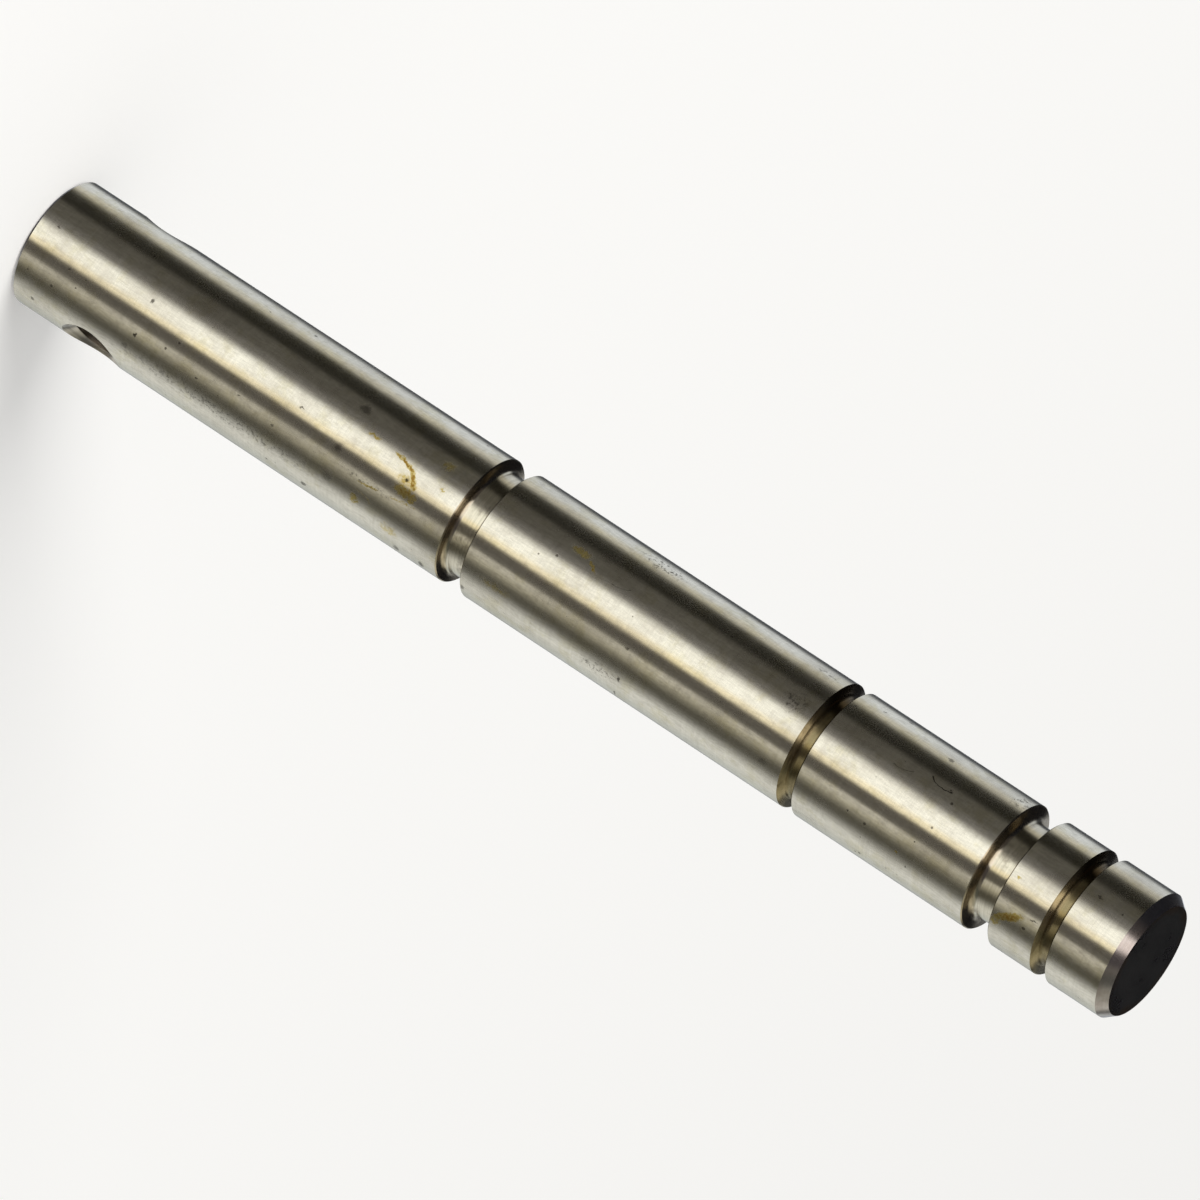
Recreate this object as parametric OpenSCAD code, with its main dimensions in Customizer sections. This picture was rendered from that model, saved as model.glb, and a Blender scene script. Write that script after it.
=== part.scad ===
// Filter pump shaft: one ground round bar with four turned ring grooves,
// a chamfered upper end and a cross hole countersunk at both mouths.
// The shaft stands on its lower end, with its axis on Z and the cross hole on X.

/* [Shaft] */
// Diameter of the ground outside
shaft_d = 12.7; // [10:0.1:25]
// Length from the lower end face to the upper end face
shaft_len = 123.8; // [112:0.1:200]
// Size of the edge break round the lower end face
lower_break = 0.28; // [0.1:0.02:1]
// Length of the upper chamfer, along the shaft
chamfer_len = 0.93; // [0.4:0.01:1.5]
// Depth of the upper chamfer, across the shaft
chamfer_depth = 0.75; // [0.3:0.05:1.5]

/* [Cross hole] */
// Diameter of the hole drilled through the shaft
hole_d = 4.76; // [3:0.01:5.2]
// Height of the hole's axis above the lower end face
hole_z = 9; // [5:0.1:30]
// Diameter of each countersunk mouth, at the crown of the shaft
mouth_d = 6.6; // [5.4:0.05:7.5]
// Angle of the countersinks, from side to side
mouth_angle = 90; // [70:1:120]

/* [Lower wide groove] */
// Height of its lower wall above the lower end face
lower_wide_z = 49.1; // [36:0.1:70]
// Width between its walls
lower_wide_w = 2.7; // [1.5:0.05:5]
// Depth of its floor under the ground outside
lower_wide_depth = 1.15; // [0.7:0.05:2]
// Radius where its walls run into its floor
lower_wide_root = 0.55; // [0.1:0.05:0.7]

/* [Middle narrow groove] */
// Height of its lower wall above the lower end face
middle_narrow_z = 87.7; // [78:0.1:92]
// Width between its walls
middle_narrow_w = 1.5; // [0.8:0.05:3]
// Depth of its floor under the ground outside
middle_narrow_depth = 1.2; // [0.3:0.05:2]
// Radius where its walls run into its floor
middle_narrow_root = 0.55; // [0.05:0.05:0.7]

/* [Upper wide groove] */
// Distance of its lower wall below the upper end face
upper_wide_drop = 15.65; // [13:0.05:18]
// Width between its walls
upper_wide_w = 2.85; // [1.5:0.05:3.8]
// Depth of its floor under the ground outside
upper_wide_depth = 1.45; // [0.7:0.05:2]
// Radius where its walls run into its floor
upper_wide_root = 0.65; // [0.1:0.05:0.7]

/* [Upper narrow groove] */
// Distance of its lower wall below the upper end face
upper_narrow_drop = 8; // [5:0.05:9]
// Width between its walls
upper_narrow_w = 1.5; // [0.8:0.05:2.5]
// Depth of its floor under the ground outside
upper_narrow_depth = 1.2; // [0.3:0.05:2]
// Radius where its walls run into its floor
upper_narrow_root = 0.55; // [0.05:0.05:0.7]

/* [Hidden] */
shaft_r = shaft_d / 2;
// Steps round every turned form
round_fn = 128;
// How far each cutter runs past the surface that it opens
cut_over = 1;
// Least flat left on each side of the middle of a groove's floor
floor_flat = 0.02;
// Run of a countersink from its mouth down to the hole
mouth_depth = (mouth_d - hole_d) / 2 / tan(mouth_angle / 2);
ground_steel = "#b9b4aa";

// Ground bar between its end faces, with the lower edge break and the upper chamfer
module bar() {
    rotate_extrude($fn = round_fn)
        polygon([
            [0, 0],
            [shaft_r - lower_break, 0],
            [shaft_r, lower_break],
            [shaft_r, shaft_len - chamfer_len],
            [shaft_r - chamfer_depth, shaft_len],
            [0, shaft_len]
        ]);
}

// Section of a groove, from its floor out past the bar.
// Both root corners are round, as far as the walls and the floor leave room.
module groove_section(width, depth, root_r) {
    floor_r = shaft_r - depth;
    corner_r = min(root_r, depth, width / 2 - floor_flat);
    translate([floor_r + corner_r, 0])
        square([depth - corner_r + cut_over, width]);
    translate([floor_r, corner_r])
        square([depth + cut_over, width - 2 * corner_r]);
    for (corner_z = [corner_r, width - corner_r])
        translate([floor_r + corner_r, corner_z])
            circle(r = corner_r, $fn = round_fn);
}

// Turned ring groove with its lower wall at the given height
module groove(wall_z, width, depth, root_r) {
    translate([0, 0, wall_z])
        rotate_extrude($fn = round_fn)
            groove_section(width, depth, root_r);
}

// Countersink on the +X side, from the hole out past the crown of the shaft
module countersink() {
    over_r = cut_over * tan(mouth_angle / 2);
    translate([shaft_r - mouth_depth, 0, 0])
        rotate([0, 90, 0])
            cylinder(
                h = mouth_depth + cut_over,
                r1 = hole_d / 2,
                r2 = mouth_d / 2 + over_r,
                $fn = round_fn
            );
}

// Hole across the shaft, open to a countersink at each mouth
module cross_hole() {
    translate([0, 0, hole_z]) {
        rotate([0, 90, 0])
            cylinder(h = shaft_d + 2 * cut_over, d = hole_d, center = true, $fn = round_fn);
        countersink();
        mirror([1, 0, 0]) countersink();
    }
}

module shaft() {
    color(ground_steel)
        difference() {
            bar();
            cross_hole();
            groove(lower_wide_z, lower_wide_w, lower_wide_depth, lower_wide_root);
            groove(middle_narrow_z, middle_narrow_w, middle_narrow_depth, middle_narrow_root);
            groove(shaft_len - upper_wide_drop, upper_wide_w, upper_wide_depth, upper_wide_root);
            groove(
                shaft_len - upper_narrow_drop, upper_narrow_w, upper_narrow_depth, upper_narrow_root
            );
        }
}

shaft();
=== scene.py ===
import math

import bmesh
import bpy
from mathutils import Matrix, Vector


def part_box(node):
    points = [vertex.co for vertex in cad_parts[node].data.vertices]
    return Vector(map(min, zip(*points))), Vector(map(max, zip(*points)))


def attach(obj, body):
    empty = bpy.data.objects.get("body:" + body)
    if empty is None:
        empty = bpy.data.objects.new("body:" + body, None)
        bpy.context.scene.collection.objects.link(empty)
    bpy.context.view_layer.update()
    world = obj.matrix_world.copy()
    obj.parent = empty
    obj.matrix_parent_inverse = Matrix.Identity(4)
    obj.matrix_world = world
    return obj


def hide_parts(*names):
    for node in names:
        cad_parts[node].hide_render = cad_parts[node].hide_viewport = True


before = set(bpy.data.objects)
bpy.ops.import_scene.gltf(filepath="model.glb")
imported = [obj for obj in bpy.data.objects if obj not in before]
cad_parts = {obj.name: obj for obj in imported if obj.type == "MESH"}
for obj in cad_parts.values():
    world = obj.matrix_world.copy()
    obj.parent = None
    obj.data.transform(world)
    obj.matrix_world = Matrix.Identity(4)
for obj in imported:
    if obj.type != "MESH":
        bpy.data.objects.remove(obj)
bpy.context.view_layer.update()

# A ground steel pump shaft, standing on its plain end, with its chamfered end up.
# Everything is in metres; values with Mm in their name are in millimetres.
mm = 0.001
shaftLow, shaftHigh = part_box("shaft")
shaftRadius = (shaftHigh - shaftLow).x / 2
shaftLength = (shaftHigh - shaftLow).z


def srgb(code):
    # Hex colour as written on a chart, turned to the linear values that shaders use
    parts = [int(code[i:i + 2], 16) / 255 for i in (1, 3, 5)]
    return [p / 12.92 if p <= 0.04045 else ((p + 0.055) / 1.055) ** 2.4 for p in parts] + [1.0]


def addNode(tree, kind, inputs=None, **settings):
    # One node with its settings: an input given a node or a socket is linked, any other is set
    node = tree.nodes.new(kind)
    for name, value in settings.items():
        setattr(node, name, value)
    for key, value in (inputs or {}).items():
        if isinstance(value, bpy.types.Node):
            value = value.outputs[0]
        if isinstance(value, bpy.types.NodeSocket):
            tree.links.new(value, node.inputs[key])
        else:
            node.inputs[key].default_value = value
    return node


def newMaterial(name):
    material = bpy.data.materials.new(name)
    material.use_nodes = True
    material.node_tree.nodes.clear()
    return material, material.node_tree


# Camera

view = {
    "azimuth": 10.5,      # degrees round the shaft, seen from the -Y side
    "elevation": 20.8,    # degrees above the floor
    "distance": 1.29,     # from the point aimed at
    "lens": 437.1,        # focal length, in mm
    "aimHeight": 0.5,     # share of the length
    "axisSlope": 33.4,    # degrees below level at which the shaft runs across the picture
    "slideRightMm": 0.634,  # how far the aim is moved in the picture
    "slideUpMm": -0.418,
    "clip": (0.01, 20),
}


def makeCamera():
    azimuth, elevation = math.radians(view["azimuth"]), math.radians(view["elevation"])
    slope = math.radians(view["axisSlope"])
    back = Vector((
        math.sin(azimuth) * math.cos(elevation),
        -math.cos(azimuth) * math.cos(elevation),
        math.sin(elevation),
    ))
    level = Vector((math.cos(azimuth), math.sin(azimuth), 0))
    upright = back.cross(level)
    # The picture is rolled, so that the shaft's upper end points right and down
    right = upright * math.cos(slope) - level * math.sin(slope)
    up = -upright * math.sin(slope) - level * math.cos(slope)
    aim = Vector((0, 0, shaftLength * view["aimHeight"]))
    aim += (right * view["slideRightMm"] + up * view["slideUpMm"]) * mm
    cameraData = bpy.data.cameras.new("camera")
    cameraData.lens = view["lens"]
    cameraData.clip_start, cameraData.clip_end = view["clip"]
    camera = bpy.data.objects.new("camera", cameraData)
    camera.matrix_world = Matrix.Translation(aim + back * view["distance"]) @ Matrix((
        (right.x, up.x, back.x, 0),
        (right.y, up.y, back.y, 0),
        (right.z, up.z, back.z, 0),
        (0, 0, 0, 1),
    ))
    bpy.context.scene.collection.objects.link(camera)
    bpy.context.scene.camera = camera
    print("camera set")


# Studio

studio = {
    "floorRadius": 4.0,
    "floorAround": 96,
    "floorColour": "#e6e5e2",
    "floorGlow": 0.22,         # added where the camera sees the floor
    "worldFill": 0.55,         # light from all round on matt surfaces
    "keyPower": 26.0,
    "keySize": 1.2,
    "keyPlace": (-0.9, -1.1, 1.6),
    "keyAim": (0, 0, 0.05),
    "shineStrength": 1.42,     # of the cards, which light only what mirrors them
    # White cards, soft boxes and black flags round the shaft, as the polished steel mirrors them:
    # azimuth in degrees at which each one begins, its colour, and how wide its first edge blurs.
    # Both lists start and end behind the shaft.
    "lowCards": [
        (100, "#e8ecf0", 0), (110, "#424447", 8), (138, "#c7caca", 16), (166, "#b9b4a3", 16),
        (181, "#1f1d16", 14), (216, "#4f4c44", 12), (245, "#66635d", 10), (263, "#faf8eb", 18),
        (290, "#f3e6c2", 10), (300, "#534f47", 6), (322.5, "#b4afa0", 2), (333, "#a39d89", 10),
        (343, "#48453b", 24), (378, "#c7c6be", 34), (414, "#b2b4ae", 24), (440, "#95989a", 14),
    ],
    "highCards": [
        (100, "#111114", 0), (220, "#393430", 14), (256, "#fbf1e4", 8), (297, "#3d3837", 4),
        (334, "#5c574e", 10), (352, "#45463f", 8), (376, "#8a8779", 14), (404, "#b3b0a3", 14),
        (424, "#111114", 14),
    ],
    "horizon": (0.0, 0.12),    # heights between which the low cards blend into the high ones
    "under": "#3a3733",        # card under the shaft, and the heights between which it ends
    "underEdge": (-0.9, -0.8),
}


def cardRing(tree, share, cards):
    # Colour by azimuth, with a flat stretch for each card and a blurred step between two
    ramp = addNode(tree, "ShaderNodeValToRGB", {0: share})
    ramp.color_ramp.interpolation = "EASE"
    start = cards[0][0]
    ends = [begin - blur / 2 for begin, colour, blur in cards[1:]] + [start + 360]
    stops = []
    for (begin, colour, blur), end in zip(cards, ends):
        stops += [(begin + blur / 2, colour), (end, colour)]
    while len(ramp.color_ramp.elements) < len(stops):
        ramp.color_ramp.elements.new(0.5)
    for stop, (place, colour) in zip(ramp.color_ramp.elements, stops):
        stop.position = (place - start) / 360
        stop.color = srgb(colour)
    return ramp


def makeWorld():
    world = bpy.data.worlds.new("studio")
    world.use_nodes = True
    tree = world.node_tree
    tree.nodes.clear()
    direction = addNode(tree, "ShaderNodeTexCoord").outputs["Generated"]
    # Azimuth from 0 to 1, starting behind the shaft
    start = studio["lowCards"][0][0]
    turned = addNode(tree, "ShaderNodeVectorRotate", {
        "Vector": direction, "Angle": math.radians(180 - start)}, rotation_type="Z_AXIS")
    parts = addNode(tree, "ShaderNodeSeparateXYZ", {0: turned}).outputs
    angle = addNode(tree, "ShaderNodeMath", {0: parts["Y"], 1: parts["X"]}, operation="ARCTAN2")
    share = addNode(tree, "ShaderNodeMath", {0: angle, 1: 1 / math.tau, 2: 0.5}, operation="MULTIPLY_ADD")
    rise = addNode(tree, "ShaderNodeMapRange", {
        "Value": parts["Z"], "From Min": studio["horizon"][0], "From Max": studio["horizon"][1],
    }, interpolation_type="SMOOTHSTEP")
    lowRing = cardRing(tree, share, studio["lowCards"])
    highRing = cardRing(tree, share, studio["highCards"])
    around = addNode(tree, "ShaderNodeMixRGB", {0: rise, 1: lowRing, 2: highRing})
    above = addNode(tree, "ShaderNodeMapRange", {
        "Value": parts["Z"], "From Min": studio["underEdge"][0], "From Max": studio["underEdge"][1],
    }, interpolation_type="SMOOTHSTEP")
    cards = addNode(tree, "ShaderNodeMixRGB", {0: above, 1: srgb(studio["under"]), 2: around})
    shine = addNode(tree, "ShaderNodeBackground", {"Color": cards, "Strength": studio["shineStrength"]})
    white = addNode(tree, "ShaderNodeBackground", {"Color": srgb("#ffffff"), "Strength": 1.0})
    fill = addNode(tree, "ShaderNodeBackground", {"Color": srgb("#ffffff"), "Strength": studio["worldFill"]})
    rays = addNode(tree, "ShaderNodeLightPath").outputs
    seen = addNode(tree, "ShaderNodeMixShader", {0: rays["Is Camera Ray"], 1: fill, 2: white})
    whole = addNode(tree, "ShaderNodeMixShader", {0: rays["Is Glossy Ray"], 1: seen, 2: shine})
    addNode(tree, "ShaderNodeOutputWorld", {"Surface": whole})
    bpy.context.scene.world = world
    print("studio cards set")


def makeFloor():
    build = bmesh.new()
    bmesh.ops.create_circle(build, cap_ends=True, radius=studio["floorRadius"],
                          segments=studio["floorAround"])
    mesh = bpy.data.meshes.new("floor")
    build.to_mesh(mesh)
    build.free()
    floor = bpy.data.objects.new("floor", mesh)
    bpy.context.scene.collection.objects.link(floor)
    material, tree = newMaterial("matt white sweep")
    matt = addNode(tree, "ShaderNodeBsdfDiffuse", {"Color": srgb(studio["floorColour"])})
    rays = addNode(tree, "ShaderNodeLightPath").outputs
    glow = addNode(tree, "ShaderNodeMath", {
        0: rays["Is Camera Ray"], 1: studio["floorGlow"]}, operation="MULTIPLY")
    light = addNode(tree, "ShaderNodeEmission", {"Color": srgb("#ffffff"), "Strength": glow})
    both = addNode(tree, "ShaderNodeAddShader", {0: matt, 1: light})
    addNode(tree, "ShaderNodeOutputMaterial", {"Surface": both})
    mesh.materials.append(material)
    floor.visible_glossy = False
    print("floor set")


def makeKeyLamp():
    lampData = bpy.data.lights.new("key_lamp", "AREA")
    lampData.shape = "DISK"
    lampData.size = studio["keySize"]
    lampData.energy = studio["keyPower"]
    lamp = bpy.data.objects.new("key_lamp", lampData)
    lamp.location = studio["keyPlace"]
    toAim = Vector(studio["keyAim"]) - Vector(studio["keyPlace"])
    lamp.rotation_euler = toAim.to_track_quat("-Z", "Y").to_euler()
    lamp.visible_glossy = False
    lamp.visible_camera = False
    bpy.context.scene.collection.objects.link(lamp)
    print("lamp set")


# The shaft

shaft = {
    "lowerBreakMm": 0.28,
    "chamferLenMm": 0.93,
    "chamferDepthMm": 0.75,
    # Each groove's lower wall above the lower end, its width, depth and root radius
    "groovesMm": [(49.1, 2.7, 1.15, 0.55), (87.7, 1.5, 1.2, 0.55),
                  (108.15, 2.85, 1.45, 0.65), (115.8, 1.5, 1.2, 0.55)],
    "holeHeightMm": 9.0,
    "holeRadiusMm": 2.38,
    "mouthRadiusMm": 3.3,
    "edgeMm": 0.1,           # break left on the rims of the grooves
    "around": 288,
    "holeAround": 128,
    "holeRows": 16,          # rows of faces up the stretch that the hole cuts
    "rootSteps": 8,
    "overMm": 1.0,           # how far the drill and the rows run past the mouth
    "nearMm": 0.02,          # how near a face lies to the surface that a tool left
    "narrowMm": 2.0,         # grooves narrower than this were cut with the narrow tool
    "sharpAngle": 20,        # degrees from which an edge shades as a sharp one
}


def arc(centreR, centreZ, radius, fromDeg, toDeg, steps):
    return [(centreR + radius * math.cos(math.radians(a)), centreZ + radius * math.sin(math.radians(a)))
            for a in [fromDeg + (toDeg - fromDeg) * i / steps for i in range(steps + 1)]]


def shaftOutline():
    # Half section from the axis at the lower end to the axis at the upper end, as (radius, height) in mm
    radius, length = shaftRadius / mm, shaftLength / mm
    edge, steps, rows = shaft["edgeMm"], shaft["rootSteps"], shaft["holeRows"]
    line = [(0, 0), (radius - shaft["lowerBreakMm"], 0), (radius, shaft["lowerBreakMm"])]
    reach = shaft["mouthRadiusMm"] + shaft["overMm"]
    line += [(radius, shaft["holeHeightMm"] + reach * (2 * row / rows - 1)) for row in range(rows + 1)]
    for wall, width, depth, root in shaft["groovesMm"]:
        floor = radius - depth
        line += [(radius, wall - edge), (radius - edge, wall)]
        line += arc(floor + root, wall + root, root, 270, 180, steps)
        line += arc(floor + root, wall + width - root, root, 180, 90, steps)
        line += [(radius - edge, wall + width), (radius, wall + width + edge)]
    line += [(radius, length - shaft["chamferLenMm"]), (radius - shaft["chamferDepthMm"], length)]
    return line + [(0, length)]


def spun(outline, axis, steps):
    # A closed solid from a half section, turned about an axis through the origin
    build = bmesh.new()
    side = Vector((0, 0, 1)) if axis.x else Vector((1, 0, 0))
    verts = [build.verts.new(side * r * mm + axis * h * mm) for r, h in outline]
    edges = [build.edges.new(pair) for pair in zip(verts, verts[1:])]
    bmesh.ops.spin(build, geom=verts + edges, cent=(0, 0, 0), axis=axis, angle=math.tau,
                   steps=steps, use_merge=True)
    bmesh.ops.remove_doubles(build, verts=build.verts, dist=1e-7)
    bmesh.ops.recalc_face_normals(build, faces=build.faces)
    return build


def toObject(build, name):
    mesh = bpy.data.meshes.new(name)
    build.to_mesh(mesh)
    build.free()
    piece = bpy.data.objects.new(name, mesh)
    bpy.context.scene.collection.objects.link(piece)
    return piece


def makeDrill():
    # The solid that the cross hole and its two countersinks take away, on the X axis
    hole, mouth, over = shaft["holeRadiusMm"], shaft["mouthRadiusMm"], shaft["overMm"]
    radius = shaftRadius / mm
    inner, outer = radius - (mouth - hole), radius + over
    outline = [(0, -outer), (mouth + over, -outer), (hole, -inner),
               (hole, inner), (mouth + over, outer), (0, outer)]
    build = spun(outline, Vector((1, 0, 0)), shaft["holeAround"])
    bmesh.ops.translate(build, verts=build.verts, vec=(0, 0, shaft["holeHeightMm"] * mm))
    return toObject(build, "drill")


def makeShaft():
    bar = toObject(spun(shaftOutline(), Vector((0, 0, 1)), shaft["around"]), "ground_bar")
    drill = makeDrill()
    cut = bar.modifiers.new("cross hole", "BOOLEAN")
    cut.object, cut.operation, cut.solver = drill, "DIFFERENCE", "EXACT"
    graph = bpy.context.evaluated_depsgraph_get()
    mesh = bpy.data.meshes.new_from_object(bar.evaluated_get(graph))
    bar.modifiers.clear()
    bar.data = mesh
    bpy.data.objects.remove(drill)
    for material in finishes.values():
        mesh.materials.append(material)
    paintFaces(mesh)
    setNormals(mesh)
    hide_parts("shaft")
    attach(bar, "root")
    print("shaft made:", len(mesh.polygons), "faces")


def finishOf(centre, normal):
    # Which tool made this face: drill, facing tool, grinding wheel, chamfer tool or grooving tool
    near = shaft["nearMm"] * mm
    radius = Vector(centre[:2]).length
    fromHole = math.hypot(centre.y, centre.z - shaft["holeHeightMm"] * mm)
    inner = shaftRadius - (shaft["mouthRadiusMm"] - shaft["holeRadiusMm"]) * mm
    bored = shaft["holeRadiusMm"] * mm + max(0, abs(centre.x) - inner)
    if abs(fromHole - bored) < near:
        return "drilled"
    if abs(normal.z) > 0.99 and (centre.z < near or centre.z > shaftLength - near):
        return "faced"
    if radius > shaftRadius - near:
        return "ground"
    if centre.z > shaftLength - shaft["chamferLenMm"] * mm or centre.z < shaft["lowerBreakMm"] * mm:
        return "chamfered"
    # The nearest groove tells which grooving tool it was
    height = centre.z / mm
    offsets = [(abs(wall + width / 2 - height), width) for wall, width, depth, root in shaft["groovesMm"]]
    return "narrow" if min(offsets)[1] < shaft["narrowMm"] else "wide"


def paintFaces(mesh):
    order = list(finishes)
    for face in mesh.polygons:
        face.material_index = order.index(finishOf(face.center, face.normal))


def setNormals(mesh):
    # Ground faces take the true cylinder's normals, so that long faces shade without facets
    mesh.shade_smooth()
    build = bmesh.new()
    build.from_mesh(mesh)
    sharp = math.radians(shaft["sharpAngle"])
    for edge in build.edges:
        edge.smooth = len(edge.link_faces) == 2 and edge.calc_face_angle(0) < sharp
    build.to_mesh(mesh)
    build.free()
    normals = [Vector(loop.normal) for loop in mesh.loops]
    ground = list(finishes).index("ground")
    for face in mesh.polygons:
        if face.material_index == ground and abs(face.normal.z) < 0.1:
            for loop in face.loop_indices:
                place = mesh.vertices[mesh.loops[loop].vertex_index].co
                normals[loop] = Vector((place.x, place.y, 0)).normalized()
    mesh.normals_split_custom_set(normals)


# Materials

def clouded(tree, place, sizesMm, detail=2.0, roughness=0.5):
    # Clouds of the given size along each axis
    spread = addNode(tree, "ShaderNodeVectorMath", {
        0: place, 1: [1 / (size * mm) for size in sizesMm]}, operation="MULTIPLY")
    return addNode(tree, "ShaderNodeTexNoise", {
        "Vector": spread, "Scale": 1.0, "Detail": detail, "Roughness": roughness})


def coated(tree, under, colour, pattern, start, full, most=1.0, blend="MIX"):
    # A colour laid over another where the pattern rises from start to full
    cover = addNode(tree, "ShaderNodeMapRange", {
        "Value": pattern, "From Min": start, "From Max": full, "To Max": most,
    }, interpolation_type="SMOOTHSTEP")
    return addNode(tree, "ShaderNodeMixRGB", {0: cover, 1: under, 2: srgb(colour)}, blend_type=blend)


def shaded(tree, under, pattern, limits, start=0.3, full=0.7):
    # A colour darkened and lightened by the marks of a tool
    tone = addNode(tree, "ShaderNodeMapRange", {
        "Value": pattern, "From Min": start, "From Max": full, "To Min": limits[0], "To Max": limits[1],
    }, interpolation_type="SMOOTHSTEP")
    return addNode(tree, "ShaderNodeMixRGB", {0: 1.0, 1: under, 2: tone}, blend_type="MULTIPLY")


def acrossMarks(tree, axis, place, normal):
    # Direction on the surface square to tool marks that run round the axis: reflections smear that way
    around = addNode(tree, "ShaderNodeVectorMath", {0: axis, 1: place}, operation="CROSS_PRODUCT")
    across = addNode(tree, "ShaderNodeVectorMath", {0: around, 1: normal}, operation="CROSS_PRODUCT")
    return addNode(tree, "ShaderNodeVectorMath", {0: across}, operation="NORMALIZE")


def toolRings(tree, place, spacingMm, runMm):
    # Noise that is the same all round the Z axis, but for a slow drift: rings left by a tool
    parts = addNode(tree, "ShaderNodeSeparateXYZ", {0: place}).outputs
    level = addNode(tree, "ShaderNodeVectorMath", {0: place, 1: (1, 1, 0)}, operation="MULTIPLY")
    radius = addNode(tree, "ShaderNodeVectorMath", {0: level}, operation="LENGTH").outputs["Value"]
    ring = addNode(tree, "ShaderNodeCombineXYZ", {0: radius, 1: parts["Z"]})
    drifting = addNode(tree, "ShaderNodeVectorMath", {
        0: place, 1: (spacingMm / runMm,) * 3, 2: ring}, operation="MULTIPLY_ADD")
    return clouded(tree, drifting, (spacingMm,) * 3, 3.0, 0.6)


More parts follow.
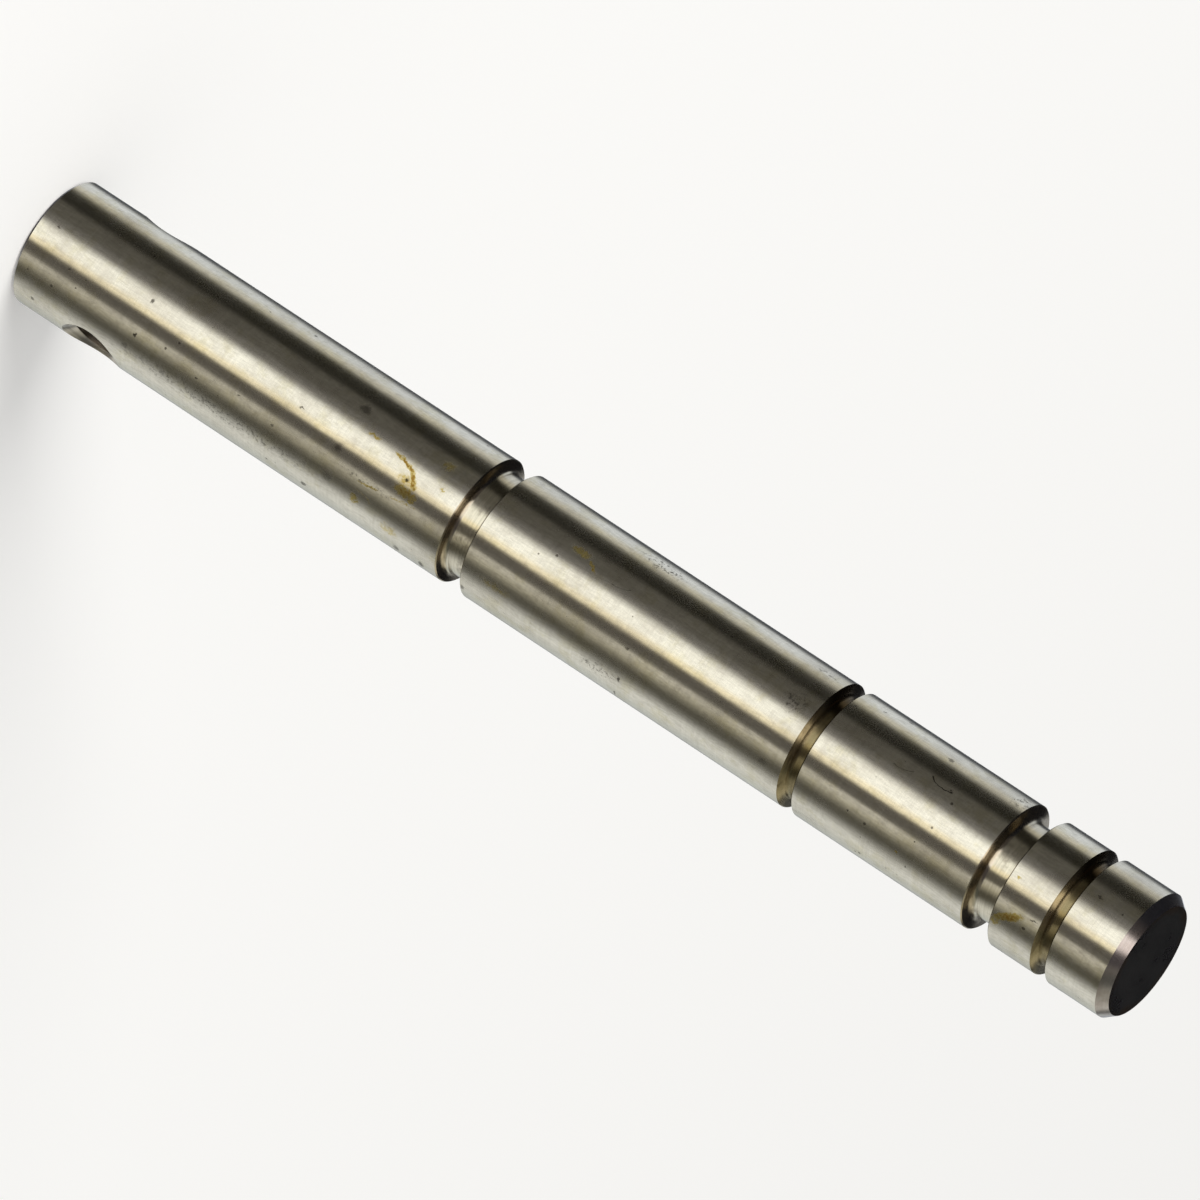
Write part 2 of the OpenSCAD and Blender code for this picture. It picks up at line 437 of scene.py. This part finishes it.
ground = {
    "paleColour": "#e4e2dc",
    "dullColour": "#d6d3cc",
    "smudgeColour": "#b3afa8",
    "oilyColour": "#f1eedb",
    "roughness": (0.2, 0.28),  # of clean and of dull patches
    "smudgeHaze": 0.03,        # added to the roughness by smudges and by dirt
    "dirtHaze": 0.12,
    "anisotropy": 0.92,
    "lineSpacingMm": 0.2,      # wheel marks are nearer 0.02 mm apart; drawn coarser so that they show
    "lineRunMm": 7,
    "lineDepthMm": 0.0012,
    "lineShade": (0.93, 1.0),
    "cloudsMm": (4.2, 4.2, 9.0),      # dull patches
    "smudgesMm": (0.67, 0.67, 0.9),
    "smudgeShare": 0.28,
    "dragsMm": (0.19, 0.19, 1.1),     # short streaks along the bar
    "dragShade": (0.9, 1.04),
    "oilMm": (3.0, 3.0, 3.0),
    "oilShare": 0.5,
    "rippleMm": (1.9, 1.9, 3.8),      # slow unevenness that makes the mirrored edges waver
    "rippleDepthMm": 0.007,
    "edgeFade": (0.4, 1.3),           # shares of a mark's own size between which it fades out
    "wanderMm": (0.53, 0.53, 0.53),   # size of the bays in the marks' edges
    "raggedMm": 0.8,                  # how far those edges stray: of stains, of hairs and of pits
    "wavyMm": 0.3,
    "dentedMm": 0.2,
    "speckleMm": (0.34, 0.34, 0.34),  # patchiness inside the marks
    "crowdMm": (5.6, 5.6, 5.6),       # where pits lie close together
    "pitSpacingMm": 0.9,
    "pitDepth": 3.0,                  # in depths of a grinding line
    "filmDulling": 0.25,              # how much of the metal's shine the thickest film hides
    "pitColour": "#4a443c",
    "amberColour": "#e0d08e",  # as the brown film tints the steel under it
    "deepAmberColour": "#b28f42",
    "sootColour": "#3c3731",
    # Dried oil and old coolant, and dark smudges and specks. Each mark has its height, azimuth in degrees,
    # half height, half width round the bar, slant in degrees, and how strong it is. Its sizes are in mm.
    "amberMarks": [
        (41.9, -87, 0.8, 0.16, -11, 0.85), (44.0, -65, 1.3, 0.5, 0, 0.85),
        (44.8, -61.5, 0.6, 0.2, 0, 0.6), (43.5, -74, 1.0, 0.6, 0, 0.4), (38.7, -90, 0.8, 0.2, 0, 0.7),
        (39.6, -34.5, 0.6, 0.6, 0, 0.5), (43.6, -25.5, 1.1, 0.8, 0, 0.3),
        (46.0, -103, 0.8, 0.55, 20, 0.4), (47.0, -83.5, 0.3, 0.16, 0, 0.5),
        (44.3, -56.5, 1.7, 0.12, 9, 0.35), (40.5, -52.5, 1.3, 0.14, 6, 0.45),
        (61.0, -104, 1.2, 0.45, 0, 0.55), (62.7, -98.5, 0.7, 0.16, -35, 0.95),
        (112.6, -46, 1.6, 0.38, 28, 1.0), (111.6, -36.5, 0.6, 0.6, 20, 0.45),
        (100.6, -39.5, 0.15, 0.15, 0, 0.7), (111.9, -79, 0.2, 0.14, 0, 0.5),
        (55.6, -38, 1.9, 0.5, 0, 0.3),
    ],
    # Edges where a drop has dried: quarter ovals, and how wide they are, where 1 is the oval's own size
    "arcWidth": 0.15,
    "amberArcs": [
        (41.4, -71.5, 3.0, 1.75, 0, 1.0), (39.2, -38, 2.0, 0.7, 0, 0.3),
    ],
    "sootMarks": [
        (43.6, -75, 0.22, 0.2, 20, 0.95), (44.5, -5, 0.35, 0.5, 0, 0.7), (47.3, -5.5, 0.3, 0.5, -15, 0.8),
        (36.4, -104.5, 0.6, 0.45, 0, 0.55), (36.3, -65.5, 0.5, 0.4, 0, 0.6),
        (36.4, -37.5, 0.6, 0.45, 0, 0.35), (13.75, -82.5, 0.18, 0.25, 10, 0.8),
        (13.75, -49.5, 0.14, 0.2, 0, 0.9), (2.1, -90.5, 0.2, 0.15, 0, 0.7),
        (2.5, -20.5, 0.2, 0.25, 0, 0.7), (13.0, -35.5, 0.3, 0.3, 0, 0.4),
        (20.9, -48.5, 0.14, 0.12, 0, 0.7), (25.5, -56.5, 0.14, 0.12, 0, 0.6),
        (27.3, -143.5, 0.2, 0.2, 0, 0.6), (31.4, -76.5, 0.25, 0.1, 0, 0.8),
        (29.6, -50.5, 0.16, 0.12, 0, 0.6), (33.9, -11.5, 0.3, 0.35, -20, 0.8),
        (29.3, -29.5, 0.3, 0.25, 0, 0.5), (69.8, -28, 0.2, 0.35, -10, 0.85),
        (69.3, -4.5, 0.12, 0.6, -10, 0.8), (69.6, -58, 0.17, 0.18, 0, 0.6), (66.3, -25, 0.2, 0.2, 0, 0.6),
        (52.1, -14, 0.25, 0.3, -20, 0.6), (115.0, -55.5, 0.45, 0.08, 0, 0.9),
        (94.3, -150.5, 0.2, 0.2, 0, 0.6), (92.0, -140.5, 0.15, 0.15, 0, 0.6),
        (99.8, -134.5, 0.35, 0.3, 20, 0.6), (119.0, -101, 0.3, 0.1, 0, 0.6),
        (85.6, -40.5, 0.6, 0.3, 0, 0.4),
    ],
    # Patches of fine mottling
    "mottledMarks": [
        (67.2, -141, 2.4, 1.1, 0, 0.85), (85.6, -139, 1.2, 0.6, 0, 0.6), (85.5, -97, 1.4, 1.2, 0, 0.6),
        (107.2, -140, 1.0, 1.2, 0, 0.8), (67.5, -25, 2.2, 0.8, 0, 0.6), (40.5, -54, 3.0, 0.35, 0, 0.5),
        (24.0, -32, 12.0, 0.9, 0, 0.5),
    ],
    # Fine hairs: half ovals
    "hairWidth": 0.12,
    "hairMarks": [
        (101.0, -109, 1.2, 0.45, -8, 0.9), (66.0, -98, 0.9, 0.2, 15, 0.6), (97.2, -102.5, 1.0, 0.3, 10, 0.5),
    ],
}


def markReach(tree, place, spot):
    # Distance from the middle of one mark, where 1 is its edge, then how far round the bar and up it is
    height, azimuth, halfHigh, halfWide, slant = spot[:5]
    turn = math.radians(azimuth)
    local = addNode(tree, "ShaderNodeMapping", {
        "Vector": place,
        "Location": (shaftRadius * math.cos(turn), shaftRadius * math.sin(turn), height * mm),
        "Rotation": (math.radians(slant), 0, turn),
        "Scale": (shaftRadius, halfWide * mm, halfHigh * mm)}, vector_type="TEXTURE")
    reach = addNode(tree, "ShaderNodeVectorMath", {0: local}, operation="LENGTH").outputs["Value"]
    parts = addNode(tree, "ShaderNodeSeparateXYZ", {0: local}).outputs
    return reach, parts["Y"], parts["Z"]


def strongest(tree, shares):
    total = shares[0]
    for share in shares[1:]:
        total = addNode(tree, "ShaderNodeMath", {0: total, 1: share}, operation="MAXIMUM")
    return total


def filled(tree, place, spots):
    # The whole of each oval, fading out across its edge
    shares = []
    for spot in spots:
        reach = markReach(tree, place, spot)[0]
        shares.append(addNode(tree, "ShaderNodeMapRange", {
            "Value": reach, "From Min": ground["edgeFade"][0], "From Max": ground["edgeFade"][1],
            "To Min": spot[5], "To Max": 0,
        }, interpolation_type="SMOOTHSTEP"))
    return strongest(tree, shares)


def rim(tree, reach, width, strength):
    # The edge of an oval, fading out to both sides
    beyond = addNode(tree, "ShaderNodeMath", {0: reach, 1: 1.0}, operation="SUBTRACT")
    away = addNode(tree, "ShaderNodeMath", {0: beyond}, operation="ABSOLUTE")
    return addNode(tree, "ShaderNodeMapRange", {
        "Value": away, "From Min": width / 4, "From Max": width, "To Min": strength, "To Max": 0,
    }, interpolation_type="SMOOTHSTEP")


def arced(tree, place, spots):
    # The rim of each oval, in the quarter that faces up and back round the bar
    shares = []
    for spot in spots:
        reach, side, rise = markReach(tree, place, spot)
        back = addNode(tree, "ShaderNodeMapRange", {
            "Value": side, "From Min": -0.05, "From Max": 0.2, "To Min": 1, "To Max": 0,
        }, interpolation_type="SMOOTHSTEP")
        upper = addNode(tree, "ShaderNodeMapRange", {
            "Value": rise, "From Min": 0.05, "From Max": 0.3}, interpolation_type="SMOOTHSTEP")
        quarter = addNode(tree, "ShaderNodeMath", {0: back, 1: upper}, operation="MULTIPLY")
        edge = rim(tree, reach, ground["arcWidth"], spot[5])
        shares.append(addNode(tree, "ShaderNodeMath", {0: edge, 1: quarter}, operation="MULTIPLY"))
    return strongest(tree, shares)


def haired(tree, place, spots):
    # The rim of each oval, in the half that lies further round the bar
    shares = []
    for spot in spots:
        reach, side = markReach(tree, place, spot)[:2]
        edge = rim(tree, reach, ground["hairWidth"], spot[5])
        half = addNode(tree, "ShaderNodeMapRange", {
            "Value": side, "From Min": 0.1, "From Max": 0.3}, interpolation_type="SMOOTHSTEP")
        shares.append(addNode(tree, "ShaderNodeMath", {0: edge, 1: half}, operation="MULTIPLY"))
    return strongest(tree, shares)


def strayed(tree, place, wander, reachMm):
    # Places moved about a little, so that the edges of marks run raggedly
    about = addNode(tree, "ShaderNodeVectorMath", {0: wander, 1: (0.5, 0.5, 0.5)}, operation="SUBTRACT")
    return addNode(tree, "ShaderNodeVectorMath", {
        0: about, 1: (reachMm * mm,) * 3, 2: place}, operation="MULTIPLY_ADD")


def drawnMarks(tree, place, wander):
    # Shares of amber film and of soot over the ground steel
    ragged = strayed(tree, place, wander, ground["raggedMm"])
    speckle = clouded(tree, place, ground["speckleMm"], 3.0, 0.7)
    patchy = addNode(tree, "ShaderNodeMapRange", {
        "Value": speckle, "From Min": 0.32, "From Max": 0.6, "To Min": 0.3,
    }, interpolation_type="SMOOTHSTEP")
    film = strongest(tree, [filled(tree, ragged, ground["amberMarks"]),
                            arced(tree, ragged, ground["amberArcs"])])
    amber = addNode(tree, "ShaderNodeMath", {0: film, 1: patchy}, operation="MULTIPLY")
    grains = addNode(tree, "ShaderNodeMapRange", {
        "Value": speckle, "From Min": 0.5, "From Max": 0.64}, interpolation_type="SMOOTHSTEP")
    mottle = addNode(tree, "ShaderNodeMath", {
        0: filled(tree, ragged, ground["mottledMarks"]), 1: grains}, operation="MULTIPLY")
    spots = filled(tree, ragged, ground["sootMarks"])
    hairs = haired(tree, strayed(tree, place, wander, ground["wavyMm"]), ground["hairMarks"])
    return amber, strongest(tree, [spots, hairs, mottle])


def pitted(tree, place, wander):
    # Pits lie in the middles of cells, larger by chance and where they crowd
    crowd = addNode(tree, "ShaderNodeMapRange", {
        "Value": clouded(tree, place, ground["crowdMm"]), "From Min": 0.4, "From Max": 0.65,
    }, interpolation_type="SMOOTHSTEP")
    cells = addNode(tree, "ShaderNodeTexVoronoi", {
        "Vector": strayed(tree, place, wander, ground["dentedMm"]),
        "Scale": 1 / (ground["pitSpacingMm"] * mm)}).outputs
    chance = addNode(tree, "ShaderNodeSeparateXYZ", {0: cells["Color"]}).outputs["X"]
    largest = addNode(tree, "ShaderNodeMapRange", {
        "Value": chance, "From Min": 0.6, "From Max": 1.0, "To Max": 0.2,
    }, interpolation_type="SMOOTHSTEP")
    size = addNode(tree, "ShaderNodeMath", {0: largest, 1: crowd}, operation="MULTIPLY")
    beyond = addNode(tree, "ShaderNodeMath", {0: cells["Distance"], 1: size}, operation="SUBTRACT")
    return addNode(tree, "ShaderNodeMapRange", {
        "Value": beyond, "From Min": -0.06, "From Max": 0.02, "To Min": 0.7, "To Max": 0,
    }, interpolation_type="SMOOTHSTEP")


def groundSteel():
    # Cylindrically ground steel: fine marks run round the bar, so what it mirrors
    # stays crisp round it and smears along it
    material, tree = newMaterial("ground steel")
    coords = addNode(tree, "ShaderNodeTexCoord").outputs
    place = coords["Object"]
    tangent = acrossMarks(tree, (0, 0, 1), place, coords["Normal"])
    lines = toolRings(tree, place, ground["lineSpacingMm"], ground["lineRunMm"])
    clouds = clouded(tree, place, ground["cloudsMm"], 4.0, 0.6)
    smudges = clouded(tree, place, ground["smudgesMm"], 4.0, 0.7)
    drags = clouded(tree, place, ground["dragsMm"], 3.0, 0.65)
    ripple = clouded(tree, place, ground["rippleMm"])
    oil = clouded(tree, place, ground["oilMm"], 4.0, 0.7)
    wander = clouded(tree, place, ground["wanderMm"], 4.0, 0.65).outputs["Color"]
    amber, soot = drawnMarks(tree, place, wander)
    pits = pitted(tree, place, wander)

    steel = coated(tree, srgb(ground["paleColour"]), ground["dullColour"], clouds, 0.35, 0.7)
    steel = shaded(tree, steel, lines, ground["lineShade"])
    steel = shaded(tree, steel, drags, ground["dragShade"])
    steel = coated(tree, steel, ground["smudgeColour"], smudges, 0.48, 0.7, ground["smudgeShare"])
    # Patches where a trace of oil warms the steel
    steel = coated(tree, steel, ground["oilyColour"], oil, 0.48, 0.66, ground["oilShare"], "MULTIPLY")
    steel = addNode(tree, "ShaderNodeMixRGB", {0: pits, 1: steel, 2: srgb(ground["pitColour"])})
    steel = addNode(tree, "ShaderNodeMixRGB", {0: soot, 1: steel, 2: srgb(ground["sootColour"])})
    # A film of oil tints what is mirrored: yellow where it is thin, brown where it is thick
    film = coated(tree, srgb("#ffffff"), ground["amberColour"], amber, 0.0, 0.45)
    film = coated(tree, film, ground["deepAmberColour"], amber, 0.45, 1.0)
    steel = addNode(tree, "ShaderNodeMixRGB", {0: 1.0, 1: steel, 2: film}, blend_type="MULTIPLY")

    # Dull patches, smudges and dirt blur what the steel mirrors
    sheen = addNode(tree, "ShaderNodeMapRange", {
        "Value": clouds, "From Min": 0.3, "From Max": 0.75,
        "To Min": ground["roughness"][0], "To Max": ground["roughness"][1],
    }, interpolation_type="SMOOTHSTEP")
    haze = addNode(tree, "ShaderNodeMapRange", {
        "Value": smudges, "From Min": 0.45, "From Max": 0.65, "To Max": ground["smudgeHaze"],
    }, interpolation_type="SMOOTHSTEP")
    hazed = addNode(tree, "ShaderNodeMath", {0: sheen, 1: haze}, operation="ADD")
    blurred = addNode(tree, "ShaderNodeMath", {
        0: strongest(tree, [amber, soot, pits]), 1: ground["dirtHaze"], 2: hazed}, operation="MULTIPLY_ADD")
    shine = addNode(tree, "ShaderNodeMath", {
        0: amber, 1: -ground["filmDulling"], 2: 1.0}, operation="MULTIPLY_ADD")
    relief = addNode(tree, "ShaderNodeMath", {
        0: pits, 1: -ground["pitDepth"], 2: lines}, operation="MULTIPLY_ADD")
    fine = addNode(tree, "ShaderNodeBump", {"Height": relief, "Distance": ground["lineDepthMm"] * mm})
    wavy = addNode(tree, "ShaderNodeBump", {
        "Height": ripple, "Distance": ground["rippleDepthMm"] * mm, "Normal": fine})
    metal = addNode(tree, "ShaderNodeBsdfPrincipled", {
        "Base Color": steel, "Metallic": shine, "Roughness": blurred,
        "Anisotropic": ground["anisotropy"], "Tangent": tangent, "Normal": wavy})
    addNode(tree, "ShaderNodeOutputMaterial", {"Surface": metal})
    return material


grooved = {
    # Dish is how hollow the walls that face up look, and the last number how much painted shade darkens one
    # side of the groove
    "wide": {
        "floorColour": "#dcd8cc", "wallColour": "#d9ccb2",
        "roughness": (0.17, 0.26), "dish": 0.3, "sideShade": 0.15},
    # The narrow grooves' darker floor colour is painted shade for their deep, narrow recess
    "narrow": {
        "floorColour": "#9c9172", "wallColour": "#b7a985",
        "roughness": (0.24, 0.33), "dish": 1.2, "sideShade": 0.85},
    "shadedColour": "#66583f",  # painted shade on the walls that face down
    # Brown grime in random patches; the same colour is also painted shade on one side of the groove
    "grimeColour": "#4a3a28",
    "grimeShare": 0.5,
    "shadedSideFacing": (-0.9, -0.43, 0),  # the side of the groove that the painted shade darkens most
    "anisotropy": 0.8,
    "cloudsMm": (2.4, 2.4, 2.4),
    "ringSpacingMm": 0.16,
    "ringRunMm": 9,
    "ringDepthMm": 0.002,
    "ringShade": (0.84, 1.0),
}


def groovedSteel(kind):
    # Turned with a grooving tool: coarser rings than the ground bar, brown grime in patches, and painted
    # shade on the walls that face down and on one side of the groove
    look = grooved[kind]
    material, tree = newMaterial("turned steel, " + kind + " groove")
    coords = addNode(tree, "ShaderNodeTexCoord").outputs
    place = coords["Object"]
    tangent = acrossMarks(tree, (0, 0, 1), place, coords["Normal"])
    rings = toolRings(tree, place, grooved["ringSpacingMm"], grooved["ringRunMm"])
    clouds = clouded(tree, place, grooved["cloudsMm"], 4.0, 0.65)
    # Normals of the walls that face up lean outward, as on a hollowed wall
    up = addNode(tree, "ShaderNodeSeparateXYZ", {0: coords["Normal"]}).outputs["Z"]
    level = addNode(tree, "ShaderNodeVectorMath", {0: place, 1: (1, 1, 0)}, operation="MULTIPLY")
    outward = addNode(tree, "ShaderNodeVectorMath", {0: level}, operation="NORMALIZE")
    hollow = addNode(tree, "ShaderNodeMapRange", {
        "Value": up, "From Min": 0.75, "From Max": 1.0, "To Max": look["dish"],
    }, interpolation_type="SMOOTHSTEP")
    lean = addNode(tree, "ShaderNodeVectorMath", {0: outward, "Scale": hollow}, operation="SCALE")
    normal = addNode(tree, "ShaderNodeNewGeometry").outputs["Normal"]
    leaning = addNode(tree, "ShaderNodeVectorMath", {0: normal, 1: lean}, operation="ADD")
    dished = addNode(tree, "ShaderNodeVectorMath", {0: leaning}, operation="NORMALIZE")

    steel = coated(tree, srgb(look["floorColour"]), look["wallColour"], up, 0.3, 0.9)
    # Painted shade: walls that face down take a darker colour
    steel = coated(tree, steel, grooved["shadedColour"], up, -0.2, -0.7)
    steel = coated(tree, steel, grooved["grimeColour"], clouds, 0.5, 0.72, grooved["grimeShare"])
    # Painted shade: one side of each groove darkened, most in the narrow grooves
    towardShadedSide = addNode(tree, "ShaderNodeVectorMath", {
        0: outward, 1: grooved["shadedSideFacing"]}, operation="DOT_PRODUCT").outputs["Value"]
    steel = coated(tree, steel, grooved["grimeColour"], towardShadedSide, 0.68, 0.86, look["sideShade"])
    steel = shaded(tree, steel, rings, grooved["ringShade"])
    sheen = addNode(tree, "ShaderNodeMapRange", {
        "Value": clouds, "From Min": 0.3, "From Max": 0.7,
        "To Min": look["roughness"][0], "To Max": look["roughness"][1],
    }, interpolation_type="SMOOTHSTEP")
    ringed = addNode(tree, "ShaderNodeBump", {
        "Height": rings, "Distance": grooved["ringDepthMm"] * mm, "Normal": dished})
    metal = addNode(tree, "ShaderNodeBsdfPrincipled", {
        "Base Color": steel, "Metallic": 1.0, "Roughness": sheen,
        "Anisotropic": grooved["anisotropy"], "Tangent": tangent, "Normal": ringed})
    addNode(tree, "ShaderNodeOutputMaterial", {"Surface": metal})
    return material


chamfered = {
    "colour": "#dad6d9",
    "dullColour": "#c4bcbc",
    "roughness": (0.17, 0.25),
    "anisotropy": 0.6,
    "cloudsMm": (2.0, 2.0, 2.0),
    "ringSpacingMm": 0.12,
    "ringRunMm": 8,
    "ringDepthMm": 0.003,
    "ringShade": (0.9, 1.0),
}


def chamferedSteel():
    # Turned chamfer and edge break: clean fine rings
    material, tree = newMaterial("turned chamfer steel")
    coords = addNode(tree, "ShaderNodeTexCoord").outputs
    place = coords["Object"]
    tangent = acrossMarks(tree, (0, 0, 1), place, coords["Normal"])
    rings = toolRings(tree, place, chamfered["ringSpacingMm"], chamfered["ringRunMm"])
    clouds = clouded(tree, place, chamfered["cloudsMm"], 3.0)
    steel = coated(tree, srgb(chamfered["colour"]), chamfered["dullColour"], clouds, 0.4, 0.7)
    steel = shaded(tree, steel, rings, chamfered["ringShade"])
    sheen = addNode(tree, "ShaderNodeMapRange", {
        "Value": clouds, "From Min": 0.3, "From Max": 0.7,
        "To Min": chamfered["roughness"][0], "To Max": chamfered["roughness"][1],
    }, interpolation_type="SMOOTHSTEP")
    ringed = addNode(tree, "ShaderNodeBump", {"Height": rings, "Distance": chamfered["ringDepthMm"] * mm})
    metal = addNode(tree, "ShaderNodeBsdfPrincipled", {
        "Base Color": steel, "Metallic": 1.0, "Roughness": sheen,
        "Anisotropic": chamfered["anisotropy"], "Tangent": tangent, "Normal": ringed})
    addNode(tree, "ShaderNodeOutputMaterial", {"Surface": metal})
    return material


faced = {
    "colour": "#8e8b88",
    "rimColour": "#8a7560",
    "rimMm": (5.8, 7.2),     # where the browner skin begins and where it is full, as radius plus clouds
    "rimBlurMm": 2.5,        # how many mm the clouds add at most
    "roughness": (0.26, 0.36),
    "cloudsMm": (2.6, 2.6, 2.6),
    "ringSpacingMm": 0.2,
    "ringRunMm": 14,
    "ringDepthMm": 0.0015,
    "ringShade": (0.88, 1.0),
}


def facedSteel():
    # Faced ends: rings round the centre, a dull grey skin, browner toward the rim
    material, tree = newMaterial("faced steel")
    place = addNode(tree, "ShaderNodeTexCoord").outputs["Object"]
    rings = toolRings(tree, place, faced["ringSpacingMm"], faced["ringRunMm"])
    clouds = clouded(tree, place, faced["cloudsMm"], 4.0, 0.6)
    level = addNode(tree, "ShaderNodeVectorMath", {0: place, 1: (1, 1, 0)}, operation="MULTIPLY")
    radius = addNode(tree, "ShaderNodeVectorMath", {0: level}, operation="LENGTH").outputs["Value"]
    worn = addNode(tree, "ShaderNodeMath", {
        0: clouds, 1: faced["rimBlurMm"] * mm, 2: radius}, operation="MULTIPLY_ADD")
    steel = coated(tree, srgb(faced["colour"]), faced["rimColour"], worn,
                   faced["rimMm"][0] * mm, faced["rimMm"][1] * mm)
    steel = shaded(tree, steel, rings, faced["ringShade"])
    sheen = addNode(tree, "ShaderNodeMapRange", {
        "Value": clouds, "From Min": 0.3, "From Max": 0.7,
        "To Min": faced["roughness"][0], "To Max": faced["roughness"][1],
    }, interpolation_type="SMOOTHSTEP")
    ringed = addNode(tree, "ShaderNodeBump", {"Height": rings, "Distance": faced["ringDepthMm"] * mm})
    metal = addNode(tree, "ShaderNodeBsdfPrincipled", {
        "Base Color": steel, "Metallic": 1.0, "Roughness": sheen, "Normal": ringed})
    addNode(tree, "ShaderNodeOutputMaterial", {"Surface": metal})
    return material


drilled = {
    "coneColour": "#dedad6",
    "boreColour": "#b0a79c",
    "grimeColour": "#5a5046",
    "grimeShare": 0.5,
    "roughness": 0.3,
    "anisotropy": 0.7,
    "cloudsMm": (1.4, 1.4, 1.4),
    "ringSpacingMm": 0.34,
    "ringRunMm": 3,
    "ringDepthMm": 0.03,
    "ringShade": (0.62, 1.0),
}


def drilledSteel():
    # Drilled and countersunk across: bright cone with ridges round its mouth, dull grimy bore
    material, tree = newMaterial("drilled steel")
    coords = addNode(tree, "ShaderNodeTexCoord").outputs
    holeCentre = (0, 0, shaft["holeHeightMm"] * mm)
    place = addNode(tree, "ShaderNodeVectorMath", {0: coords["Object"], 1: holeCentre}, operation="SUBTRACT")
    tangent = acrossMarks(tree, (1, 0, 0), place, coords["Normal"])
    parts = addNode(tree, "ShaderNodeSeparateXYZ", {0: place}).outputs
    onEnd = addNode(tree, "ShaderNodeCombineXYZ", {0: parts["Y"], 1: parts["Z"], 2: parts["X"]})
    rings = toolRings(tree, onEnd, drilled["ringSpacingMm"], drilled["ringRunMm"])
    clouds = clouded(tree, place, drilled["cloudsMm"], 4.0, 0.65)
    along = addNode(tree, "ShaderNodeSeparateXYZ", {0: coords["Normal"]}).outputs["X"]
    slope = addNode(tree, "ShaderNodeMath", {0: along}, operation="ABSOLUTE")
    steel = coated(tree, srgb(drilled["boreColour"]), drilled["coneColour"], slope, 0.1, 0.5)
    steel = coated(tree, steel, drilled["grimeColour"], clouds, 0.54, 0.74, drilled["grimeShare"])
    steel = shaded(tree, steel, rings, drilled["ringShade"], 0.35, 0.65)
    ringed = addNode(tree, "ShaderNodeBump", {"Height": rings, "Distance": drilled["ringDepthMm"] * mm})
    metal = addNode(tree, "ShaderNodeBsdfPrincipled", {
        "Base Color": steel, "Metallic": 1.0, "Roughness": drilled["roughness"],
        "Anisotropic": drilled["anisotropy"], "Tangent": tangent, "Normal": ringed})
    addNode(tree, "ShaderNodeOutputMaterial", {"Surface": metal})
    return material


finishes = {
    "ground": groundSteel(),
    "wide": groovedSteel("wide"),
    "narrow": groovedSteel("narrow"),
    "chamfered": chamferedSteel(),
    "faced": facedSteel(),
    "drilled": drilledSteel(),
}
print("finishes made:", len(finishes))

bpy.context.scene.view_settings.view_transform = "Standard"
makeCamera()
makeWorld()
makeFloor()
makeKeyLamp()
makeShaft()
